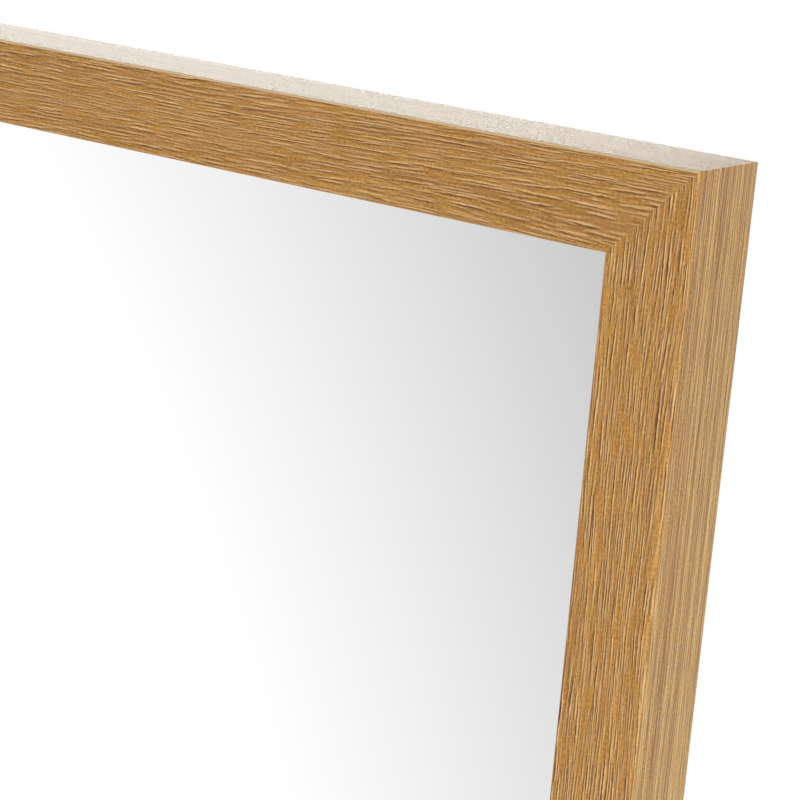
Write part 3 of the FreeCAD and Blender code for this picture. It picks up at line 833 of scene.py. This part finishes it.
# %% Group: lines that follow the grain
def new_group(name, inputs, outputs):
    """An empty node group with named inputs and outputs."""
    group = bpy.data.node_groups.new(name, "ShaderNodeTree")
    for kind, sockets in (("INPUT", inputs), ("OUTPUT", outputs)):
        for label, form, value in sockets:
            socket = group.interface.new_socket(
                name=label, in_out=kind, socket_type="NodeSocket" + form
            )
            if value is not None:
                socket.default_value = value
    start, end = group.nodes.new("NodeGroupInput"), group.nodes.new("NodeGroupOutput")
    return group, start.outputs, end.inputs


def place_group(tree, group, values):
    """Places a node group with its own values."""
    node = tree.nodes.new("ShaderNodeGroup")
    node.node_tree = group
    for label, value in values.items():
        if isinstance(value, bpy.types.NodeSocket):
            tree.links.new(value, node.inputs[label])
        elif isinstance(value, tuple) and len(value) == 3 and node.inputs[label].type == "RGBA":
            node.inputs[label].default_value = (*value, 1)
        else:
            node.inputs[label].default_value = value
    return node.outputs


pressed_pores, given, put = new_group(
    "pressed_pores",
    (
        ("Place", "Vector", None), ("Along", "Float", 30.0), ("Across", "Float", 300.0),
        ("Scatter", "Float", 1.0), ("Length", "Float", 0.42), ("Width", "Float", 0.0005),
        ("Lean", "Float", 0.05),
    ),
    (("Dark", "Float", None), ("Light", "Float", None)),
)
u, v, _ = add_node(pressed_pores, "SeparateXYZ", {0: given["Place"]}).outputs
cell_u = reckon(pressed_pores, "MULTIPLY", u, given["Along"])
cell_v = reckon(pressed_pores, "MULTIPLY", v, given["Across"])
cell = add_node(pressed_pores, "CombineXYZ", {0: cell_u, 1: cell_v}).outputs[0]
pores = add_node(
    pressed_pores, "TexVoronoi", {"Vector": cell, "Scale": 1.0, "Randomness": given["Scatter"]},
    voronoi_dimensions="2D",
).outputs
from_pore = {0: cell, 1: pores["Position"]}
away = add_node(pressed_pores, "VectorMath", from_pore, operation="SUBTRACT").outputs[0]
away_u, away_v, _ = add_node(pressed_pores, "SeparateXYZ", {0: away}).outputs
lean, reach, depth = add_node(pressed_pores, "SeparateColor", {0: pores["Color"]}).outputs

# How far a point is from the pore's own leaning line, in widths.
run = reckon(pressed_pores, "DIVIDE", away_u, given["Along"])
rise = reckon(pressed_pores, "DIVIDE", away_v, given["Across"])
slope = reckon(pressed_pores, "MULTIPLY", centre(pressed_pores, lean), given["Lean"])
off = reckon(pressed_pores, "SUBTRACT", rise, reckon(pressed_pores, "MULTIPLY", run, slope))
off = reckon(pressed_pores, "DIVIDE", off, given["Width"])

# A pore tapers towards its two ends, and some are longer and deeper than others. Its
# dark line and its light rim lie half a width to either side.
half = reckon(pressed_pores, "MULTIPLY", between(pressed_pores, reach, 0.5, 1.3), given["Length"])
along = reckon(pressed_pores, "DIVIDE", away_u, half)
taper = fade(pressed_pores, reckon(pressed_pores, "ABSOLUTE", along), 0.35, 1.0, 1.0, 0.0)
strength = reckon(pressed_pores, "MULTIPLY", taper, between(pressed_pores, depth, 0.2, 1.0))
for label, shift in (("Dark", -0.5), ("Light", 0.5)):
    side = reckon(pressed_pores, "ABSOLUTE", reckon(pressed_pores, "ADD", off, shift))
    line = fade(pressed_pores, side, 0.15, 0.75, 1.0, 0.0)
    pressed_pores.links.new(reckon(pressed_pores, "MULTIPLY", line, strength), put[label])
print("group", pressed_pores.name)

# %% Group: speckle of two tones
speckle, given, put = new_group(
    "two_tone_speckle",
    (
        ("Place", "Vector", None), ("Grains per metre", "Float", 800.0),
        ("Dark", "Color", None), ("Light", "Color", None), ("Contrast", "Float", 0.5),
    ),
    (("Color", "Color", None), ("Height", "Float", None)),
)
fine = cloud(speckle, given["Place"], given["Grains per metre"], 3.0, 0.6)
broad = cloud(speckle, given["Place"], 9.0, 2.0, 0.5)
low = between(speckle, given["Contrast"], 0.5, 0.25)
high = between(speckle, given["Contrast"], 0.5, 0.75)
grains = fade(speckle, fine, low, high, 0.15, 0.85)
share = reckon(speckle, "MULTIPLY_ADD", centre(speckle, broad), 0.3, grains)
tone = mix_colours(speckle, share, given["Dark"], given["Light"])
speckle.links.new(tone, put["Color"])
speckle.links.new(fine, put["Height"])
print("group", speckle.name)

# %% Group: cloudy wear
cloudy_wear, given, put = new_group(
    "cloudy_wear",
    (
        ("Place", "Vector", None), ("Patches per metre", "Float", 60.0),
        ("Smooth", "Float", 0.3), ("Rough", "Float", 0.5),
    ),
    (("Roughness", "Float", None), ("Mask", "Float", None)),
)
patches = cloud(cloudy_wear, given["Place"], given["Patches per metre"], 4.0, 0.6)
mask = fade(cloudy_wear, patches, 0.35, 0.65)
span = reckon(cloudy_wear, "SUBTRACT", given["Rough"], given["Smooth"])
polish = reckon(cloudy_wear, "MULTIPLY_ADD", mask, span, given["Smooth"])
cloudy_wear.links.new(polish, put["Roughness"])
cloudy_wear.links.new(mask, put["Mask"])
print("group", cloudy_wear.name)


# %% A start for every finish
def new_finish(name, **numbers):
    """A material whose Principled BSDF has these plain numbers."""
    finish = bpy.data.materials.get(name) or bpy.data.materials.new(name)
    finish.use_nodes = True
    shader = finish.node_tree.nodes["Principled BSDF"]
    for label, value in numbers.items():
        shader.inputs[label.replace("_", " ")].default_value = value
    return finish, finish.node_tree, shader.inputs


def raise_bumps(tree, inputs, height, depth, strength=1.0):
    """Joins a height to the shader through a Bump node."""
    bump = add_node(tree, "Bump", {"Height": height, "Distance": depth, "Strength": strength})
    tree.links.new(bump.outputs[0], inputs["Normal"])


print("finish helpers ready")

# %% [markdown]
# ## The oak-look foil
#
# The foil is a print of brushed oak with the pores pressed in: dark dashes up to four
# centimetres long and half a millimetre wide, each with a light rim on the side towards
# the outer edge. Between them the ground drifts from gold to a pinkish brown, under
# fine fibres. Wood is often made from rings cut by a plane, but a foil shows no end
# grain. So the pores come from stretched Voronoi cells and the ground from stretched
# noise, both on the strip's own map. The pores drive colour and relief, and the fibres
# and specks the roughness too, so that all of it stays in step.

# %% Read the foil's map
FACE_START, FACE_END = 0.0440, 0.0475
FRONT_FOLD = 0.0458
REAR_FOLD = 0.007

oak, tree, inputs = new_finish("oak_foil_print", IOR=1.38)
strip_map = add_node(tree, "UVMap", uv_map="grain_map").outputs[0]
u, v, _ = add_node(tree, "SeparateXYZ", {0: strip_map}).outputs
face_part = fade(tree, v, FACE_START, FACE_END)
side_part = reckon(tree, "SUBTRACT", 1.0, face_part)
roll = reckon(tree, "MODULO", reckon(tree, "FLOOR", reckon(tree, "DIVIDE", u, ROLL_STEP)), 2.0)
rail = reckon(tree, "SUBTRACT", 1.0, roll)
print("face from", FACE_START, "m round the strip, rolls every", ROLL_STEP, "m")


# %% Let the grain wander
# It drifts slowly and ripples on the face. Round the outer side it is straight.
DRIFT, RIPPLE, FRAY = 0.016, 0.0012, 0.0007


def noise_along(place, along, across, detail=2.0, roughness=0.5):
    """Noise with its own scale along and across the grain, per metre."""
    return cloud(tree, stretch(tree, place, (along, across, 1)), 1.0, detail, roughness)


drift = centre(tree, noise_along(strip_map, 3.5, 22.0, 1.0))
ripple = centre(tree, noise_along(strip_map, 24.0, 120.0, 1.0))
fray = centre(tree, noise_along(strip_map, 300.0, 900.0))
shift = reckon(tree, "MULTIPLY", drift, DRIFT)
shift = reckon(tree, "MULTIPLY_ADD", ripple, RIPPLE, shift)
wander = reckon(tree, "MULTIPLY_ADD", shift, face_part, v)
fray = reckon(tree, "MULTIPLY", fray, FRAY)
wander = reckon(tree, "MULTIPLY_ADD", fray, between(tree, face_part, 0.3, 1.0), wander)
flow = add_node(tree, "CombineXYZ", {0: u, 1: wander}).outputs[0]
print("the grain drifts within", DRIFT, "m")

# %% Place the pores and the patterns between them
PORE_INPUTS = ("Along", "Across", "Scatter", "Length", "Width", "Lean")
PORES = {
    # size: cells per metre along and across, scatter, length in cells, width, lean
    "large": (30.0, 400.0, 1.0, 0.46, 0.00045, 0.07),
    "middling": (42.0, 690.0, 0.7, 0.48, 0.00055, 0.06),
    "small": (85.0, 700.0, 1.0, 0.48, 0.0004, 0.08),
}
pores = {}
for name, numbers in PORES.items():
    values = {"Place": flow, **dict(zip(PORE_INPUTS, numbers))}
    pores[name] = place_group(tree, pressed_pores, values)
fibres = noise_along(flow, 75.0, 1300.0)
straight = noise_along(flow, 5.0, 420.0)
bands = noise_along(flow, 7.0, 160.0)
hue = noise_along(flow, 38.0, 130.0)
slow = noise_along(strip_map, 2.2, 3.0, 1.0)
speck = noise_along(strip_map, 800.0, 1100.0, 3.0, 0.7)
print("pores:", ", ".join(pores))

# %% Add up the tone of the ground
# One tone from dark to light is the sum of all that varies between the pores. The
# rails are a little darker than the stiles. The stiles also get a slow wave of painted
# light along them, stronger on the outer side than on the face: near the top corner it
# lightens the right stile downwards, as if the light there grew stronger lower down.
RAIL_TONE, STILE_TONE = 0.30, 0.419
LIGHT_WAVE_START, LIGHT_WAVE_RATE = 31.0, 9.0
SIDE_LIGHT_WAVE, FACE_LIGHT_WAVE = 0.19, 0.10
SIDE_LINES, FACE_LINES = 3.0, 1.0

tone = between(tree, roll, RAIL_TONE, STILE_TONE)
for part, amount in ((bands, 0.7), (fibres, 1.2), (speck, 2.3), (slow, 0.15)):
    tone = reckon(tree, "MULTIPLY_ADD", centre(tree, part), amount, tone)
# Painted light: a slow sine along the stiles, lighter and darker by turns.
along_light_wave = reckon(tree, "MULTIPLY", reckon(tree, "SUBTRACT", u, LIGHT_WAVE_START), LIGHT_WAVE_RATE)
painted_light_wave = reckon(tree, "SINE", along_light_wave)
painted_light_wave = reckon(tree, "MULTIPLY", painted_light_wave, between(tree, face_part, SIDE_LIGHT_WAVE, FACE_LIGHT_WAVE))
tone = reckon(tree, "MULTIPLY_ADD", painted_light_wave, roll, tone)
lines = between(tree, face_part, SIDE_LINES, FACE_LINES)
lines = reckon(tree, "MULTIPLY", centre(tree, straight), lines)
tone = reckon(tree, "MULTIPLY_ADD", lines, between(tree, roll, 0.5, 1.0), tone)
print("tone around", RAIL_TONE, "on the rails and", STILE_TONE, "on the stiles")

# %% Colour the ground
DARK_GROUND = (0.25, 0.102, 0.013)
# Painted sheen: the outer side's light tone is paler and less golden than the face's, for the
# light that grazes that side.
LIGHT_SIDE_WITH_SHEEN = (0.65, 0.405, 0.14)
LIGHT_FACE = (0.58, 0.30, 0.062)
PINKISH = (0.43, 0.205, 0.075)
# Painted sheen: a pale cream for the glare on the rails' outer sides.
SHEEN_CREAM = (0.56, 0.44, 0.19)

# The light end of the tone carries the painted sheen on the outer side.
lighter_with_side_sheen = mix_colours(tree, face_part, LIGHT_SIDE_WITH_SHEEN, LIGHT_FACE)
ground = mix_colours(tree, tone, DARK_GROUND, lighter_with_side_sheen)
ground = mix_colours(tree, fade(tree, hue, 0.4, 0.7, 0.0, 0.35), ground, PINKISH)
# Painted sheen: the rails' outer sides are mixed towards a pale cream, for the glare that the top
# of the frame mirrors. Every outer side also pales a little towards its back.
rearward = fade(tree, v, REAR_FOLD, FACE_START, 1.0, 0.0)
rail_side = reckon(tree, "MULTIPLY", rail, between(tree, face_part, 1.0, 0.1))
painted_sheen_share = reckon(tree, "MULTIPLY_ADD", rail_side, 0.35, reckon(tree, "MULTIPLY", rearward, 0.10))
ground = mix_colours(tree, painted_sheen_share, ground, SHEEN_CREAM)
print("ground from", DARK_GROUND, "to", LIGHT_FACE)

# %% Colour the pores and the fold
# On the rails the front fold gets a painted highlight, a pale peach line for the light
# from above that catches the rounded edge. On the stiles the fold is duller instead.
PORE_RIM = (0.84, 0.55, 0.25)
PORE_DEEP = (0.075, 0.021, 0.003)
PAINTED_FOLD_HIGHLIGHT = (0.88, 0.64, 0.37)
FOLD_CORE, FOLD_RIM = 0.0004, 0.0012

press = between(tree, face_part, 0.66, 1.0)
rim_press = reckon(tree, "MULTIPLY", press, between(tree, roll, 0.78, 0.96))
deep_press = reckon(tree, "MULTIPLY", press, between(tree, roll, 0.90, 1.24))
for name, rim, deep in (("small", 0.55, 0.62), ("middling", 0.70, 0.76), ("large", 0.75, 0.95)):
    rim = reckon(tree, "MULTIPLY", pores[name]["Light"], rim)
    deep = reckon(tree, "MULTIPLY", pores[name]["Dark"], deep)
    ground = mix_colours(tree, reckon(tree, "MULTIPLY", rim, rim_press), ground, PORE_RIM)
    ground = mix_colours(tree, reckon(tree, "MULTIPLY", deep, deep_press), ground, PORE_DEEP)
from_fold = reckon(tree, "ABSOLUTE", reckon(tree, "SUBTRACT", v, FRONT_FOLD))
fold = fade(tree, from_fold, FOLD_CORE, FOLD_RIM, 1.0, 0.0)
# Painted highlight along the rails' front fold, none on the stiles.
fold_highlight_share = reckon(tree, "MULTIPLY", fold, between(tree, roll, 0.95, 0.0))
ground = mix_colours(tree, fold_highlight_share, ground, PAINTED_FOLD_HIGHLIGHT)
tree.links.new(ground, inputs["Base Color"])
print("pore rims", PORE_RIM, "and depths", PORE_DEEP)

# %% Give the foil its relief and gloss
# The outer side is grittier than the face, and most of all on the rails.
RELIEF, RELIEF_STRENGTH = 0.00012, 0.5

height = reckon(tree, "MULTIPLY", pores["large"]["Light"], 0.4)
for name, depth in (("large", -1.0), ("middling", -0.7), ("small", -0.4)):
    height = reckon(tree, "MULTIPLY_ADD", pores[name]["Dark"], depth, height)
height = reckon(tree, "MULTIPLY_ADD", fibres, between(tree, face_part, 0.2, 0.6), height)
grit = reckon(tree, "MULTIPLY", speck, side_part)
height = reckon(tree, "MULTIPLY_ADD", grit, 1.2, height)
sparkle = reckon(tree, "MULTIPLY", centre(tree, speck), rail_side)
height = reckon(tree, "ADD", sparkle, height)
raise_bumps(tree, inputs, height, RELIEF, RELIEF_STRENGTH)

gloss = between(tree, face_part, 0.16, 0.31)
gloss = reckon(tree, "MULTIPLY_ADD", fibres, between(tree, face_part, 0.04, 0.16), gloss)
gloss = reckon(tree, "MULTIPLY_ADD", speck, between(tree, face_part, 0.55, 0.25), gloss)
gloss = reckon(tree, "MULTIPLY_ADD", reckon(tree, "MULTIPLY", fold, roll), 0.3, gloss)
gloss = reckon(tree, "MULTIPLY_ADD", sparkle, 0.5, gloss)
tree.links.new(gloss, inputs["Roughness"])
for foil in foils:
    foil.data.materials.clear()
    foil.data.materials.append(oak)
print("oak foil finish on", len(foils), "pieces")

# %% [markdown]
# ## Silver, glass edge and back paint
#
# The front of the pane is a metal with almost no roughness. A trace of tone and
# polish variation keeps it from being a perfect computer mirror, but it has to stay
# tiny, because a good mirror shows no texture. The edge is ground glass, a dull
# green, and the back is a flat grey paint with a fine orange-peel.

# %% Finish the pane
_, tree, inputs = new_finish("silver_front", Metallic=1.0, Roughness=0.0)
place = add_node(tree, "TexCoord").outputs["Object"]
tint = cloud(tree, place, 1.5, 1.0)
tone = mix_colours(tree, tint, (0.928, 0.930, 0.929), (0.932, 0.932, 0.932))
tree.links.new(tone, inputs["Base Color"])

_, tree, inputs = new_finish("ground_glass_edge", IOR=1.5)
place = add_node(tree, "TexCoord").outputs["Object"]
ground_edge = place_group(tree, speckle, {
    "Place": place, "Grains per metre": 1500.0, "Contrast": 0.8,
    "Dark": (0.16, 0.34, 0.27), "Light": (0.36, 0.55, 0.47),
})
tree.links.new(ground_edge["Color"], inputs["Base Color"])
raise_bumps(tree, inputs, ground_edge["Height"], 0.0001)

_, tree, inputs = new_finish("grey_back_paint", Roughness=0.5)
place = add_node(tree, "TexCoord").outputs["Object"]
peel = place_group(tree, speckle, {
    "Place": place, "Grains per metre": 500.0, "Contrast": 1.2,
    "Dark": (0.22, 0.23, 0.24), "Light": (0.27, 0.28, 0.29),
})
tree.links.new(peel["Color"], inputs["Base Color"])
raise_bumps(tree, inputs, peel["Height"], 0.00005)
print("pane finished in", len(pane.data.materials), "materials")

# %% [markdown]
# ## Boards, cork, foam, film and rubber
#
# These are all speckled stuffs that differ in tone, grain size and relief, so one
# table of values and one loop make them: raw fibreboard, dark hardboard, pressed
# cork, foam tape, the film on the back of the glass and the black rubber.

# %% Finish the speckled stuffs
STUFFS = {
    # finish: dark, light, grains per metre, contrast, relief in millimetres, smooth, rough
    "raw_fibreboard": ((0.34, 0.22, 0.12), (0.49, 0.335, 0.20), 2200.0, 0.9, 0.03, 0.75, 0.9),
    "brown_hardboard": ((0.20, 0.115, 0.062), (0.32, 0.20, 0.115), 1600.0, 1.2, 0.03, 0.45, 0.7),
    "pressed_cork": ((0.19, 0.105, 0.05), (0.52, 0.35, 0.19), 500.0, 0.4, 0.3, 0.8, 0.95),
    "black_foam": ((0.012, 0.012, 0.012), (0.05, 0.05, 0.05), 1800.0, 0.5, 0.2, 0.85, 1.0),
    "white_film": ((0.60, 0.63, 0.65), (0.78, 0.80, 0.81), 220.0, 1.4, 0.05, 0.35, 0.5),
    "black_rubber_mat": ((0.016, 0.016, 0.017), (0.042, 0.041, 0.04), 900.0, 0.9, 0.06, 0.55, 0.8),
}
MILLIMETRE = 0.001
WEAR_PATCHES = 35.0


def finish_stuff(name):
    """One speckled finish from the table."""
    dark, light, grains, contrast, relief, smooth, rough = STUFFS[name]
    finish, tree, inputs = new_finish(name)
    place = add_node(tree, "TexCoord").outputs["Object"]
    grain = place_group(tree, speckle, {
        "Place": place, "Grains per metre": grains, "Contrast": contrast,
        "Dark": dark, "Light": light,
    })
    wear = place_group(tree, cloudy_wear, {
        "Place": place, "Patches per metre": WEAR_PATCHES, "Smooth": smooth, "Rough": rough,
    })
    tree.links.new(grain["Color"], inputs["Base Color"])
    tree.links.new(wear["Roughness"], inputs["Roughness"])
    raise_bumps(tree, inputs, grain["Height"], relief * MILLIMETRE)
    return finish


stuffs = {name: finish_stuff(name) for name in STUFFS}
print("stuffs:", ", ".join(stuffs))

# %% [markdown]
# ## Zinc, steel and clear rubber
#
# Zinc plate has a faint bluish tone and a cloudy, spangled polish. The V nails and
# points are bright rolled steel with fine lines along the sheet. Both are metals, so
# their tone is the tone of what they mirror. The bumpers are a soft, clear plastic.
# Full transmission would show the board through them, but a dome this thick looks
# milky, so half of the light is scattered under the surface, and a coat adds the gloss.

# %% Finish the metals and the bumpers
SPANGLE_RELIEF = 0.00001
METALS = {
    # finish: dark, light, smooth, rough, patches per metre
    "zinc_plated_steel": ((0.62, 0.64, 0.66), (0.70, 0.71, 0.72), 0.24, 0.36, 300.0),
    "bright_rolled_steel": ((0.46, 0.46, 0.47), (0.62, 0.62, 0.63), 0.28, 0.5, 700.0),
}


def finish_metal(name):
    """A cloudy, faintly spangled metal."""
    dark, light, smooth, rough, patches = METALS[name]
    finish, tree, inputs = new_finish(name, Metallic=1.0)
    place = add_node(tree, "TexCoord").outputs["Object"]
    wear = place_group(tree, cloudy_wear, {
        "Place": place, "Patches per metre": patches, "Smooth": smooth, "Rough": rough,
    })
    tone = mix_colours(tree, wear["Mask"], dark, light)
    tree.links.new(tone, inputs["Base Color"])
    tree.links.new(wear["Roughness"], inputs["Roughness"])
    raise_bumps(tree, inputs, wear["Mask"], SPANGLE_RELIEF)
    return finish


metals = {name: finish_metal(name) for name in METALS}

gel, tree, inputs = new_finish(
    "clear_soft_rubber", IOR=1.48, Coat_Weight=0.5, Subsurface_Weight=0.5,
    Subsurface_Radius=(1.0, 1.0, 0.9), Subsurface_Scale=0.003,
)
place = add_node(tree, "TexCoord").outputs["Object"]
wear = place_group(tree, cloudy_wear, {
    "Place": place, "Patches per metre": 150.0, "Smooth": 0.12, "Rough": 0.28,
})
tone = mix_colours(tree, wear["Mask"], (0.64, 0.63, 0.58), (0.76, 0.75, 0.70))
tree.links.new(tone, inputs["Base Color"])
tree.links.new(wear["Roughness"], inputs["Roughness"])
print("metals:", ", ".join(metals), "and", gel.name)

# %% [markdown]
# ## Dress every part
#
# Parts that keep their CAD shape get a finish in place of the plain one they came
# with. New pieces get theirs in the same way, so one table shows what is made of what.

# %% Assign the finishes
DRESS = {
    stuffs["raw_fibreboard"]: ("top_rail", "bottom_rail", "left_stile", "right_stile"),
    stuffs["brown_hardboard"]: ("backing_board",),
    stuffs["pressed_cork"]: ("edge_spacers",),
    stuffs["black_foam"]: (
        "top_glazing_tape", "bottom_glazing_tape", "left_glazing_tape", "right_glazing_tape",
    ),
    stuffs["white_film"]: ("safety_film",),
    stuffs["black_rubber_mat"]: ("setting_blocks", "left_foot_pad", "right_foot_pad"),
    metals["zinc_plated_steel"]: (
        "left_hanger_strap", "right_hanger_strap", "left_wire_ring", "right_wire_ring",
        "right_upper_screw", "right_lower_screw", "left_upper_screw", "left_lower_screw",
    ),
    metals["bright_rolled_steel"]: ("corner_v_nails", "backing_points"),
    gel: (
        "top_right_bumper", "top_left_bumper", "bottom_right_bumper", "bottom_left_bumper",
    ),
}
for finish, names in DRESS.items():
    for name in names:
        piece = bpy.data.objects[name]
        if not piece.material_slots:
            piece.data.materials.append(finish)
        for slot in piece.material_slots:
            slot.material = finish
    print(finish.name, "on", len(names))

# %% [markdown]
# ## The boxes at the end
#
# Both boxes are written down: the CAD model's when it is loaded, and the dressed
# model's here. The dressed model has to stay inside the box of the CAD model.

# %% Write the sizes and finish
low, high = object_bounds()
print("visual box:", [round(n, 4) for n in low], [round(n, 4) for n in high])
